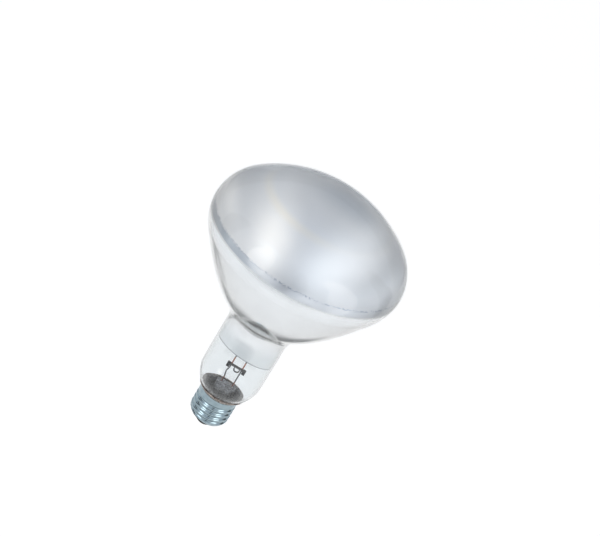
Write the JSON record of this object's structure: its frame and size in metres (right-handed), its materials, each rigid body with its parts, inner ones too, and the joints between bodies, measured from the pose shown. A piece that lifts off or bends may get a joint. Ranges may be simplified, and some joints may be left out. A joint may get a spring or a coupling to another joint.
{
  "type": "uv sun lamp bulb",
  "caption": "Reflector sun lamp: silvered glass bowl with a frosted domed face, clear neck showing the wire mount, and an Edison screw cap.",
  "frame": {"origin": "centre of the flat of the centre contact, on the lamp's axis", "axes": "+Z along the lamp's axis from the cap to the domed face; -Y towards the camera of the picture"},
  "size_m": [0.127, 0.127, 0.1847],
  "materials": {
    "bulb_glass": "clear, frosted inside on the face",
    "silvering": "bright",
    "stem_glass": "clear",
    "quartz": "clear",
    "cap_nickel": "satin, slightly tarnished",
    "cap_black_glass": "gloss",
    "contact_brass": "satin",
    "solder": "satin",
    "cement": "matte",
    "copper_wire": "satin",
    "nickel_wire": "satin",
    "bridge_ceramic": "matte",
    "spring_steel": "satin",
    "mica": "satin",
    "tungsten": "satin",
    "molybdenum": "satin"
  },
  "bodies": {
    "root": {"glass_bulb": "bulb_glass", "reflector_coating": "silvering", "glass_stem": "stem_glass", "exhaust_tube": "stem_glass", "screw_shell": "cap_nickel", "cap_insulator": "cap_black_glass", "contact_plate": "contact_brass", "centre_solder": "solder", "capping_cement": "cement", "outer_lead_centre": "copper_wire", "outer_lead_side": "copper_wire", "seal_wire_left": "copper_wire", "seal_wire_right": "copper_wire", "support_lead_left": "nickel_wire", "support_lead_right": "nickel_wire", "lead_bridge": "bridge_ceramic", "bridge_clip_left": "spring_steel", "bridge_clip_right": "spring_steel", "getter_bow": "spring_steel", "getter_stalk_left": "spring_steel", "getter_stalk_right": "spring_steel", "heat_shield": "mica", "burner_post": "nickel_wire", "burner_tube": "quartz", "burner_strap_lower": "spring_steel", "burner_strap_upper": "spring_steel", "burner_lead_lower": "molybdenum", "burner_lead_upper": "molybdenum", "foil_lower": "molybdenum", "foil_upper": "molybdenum", "electrode_lower": "tungsten", "electrode_upper": "tungsten", "filament": "tungsten", "filament_hook_1": "molybdenum", "filament_hook_2": "molybdenum", "filament_hook_3": "molybdenum", "filament_hook_4": "molybdenum", "filament_hook_5": "molybdenum"}
  },
  "joints": []
}
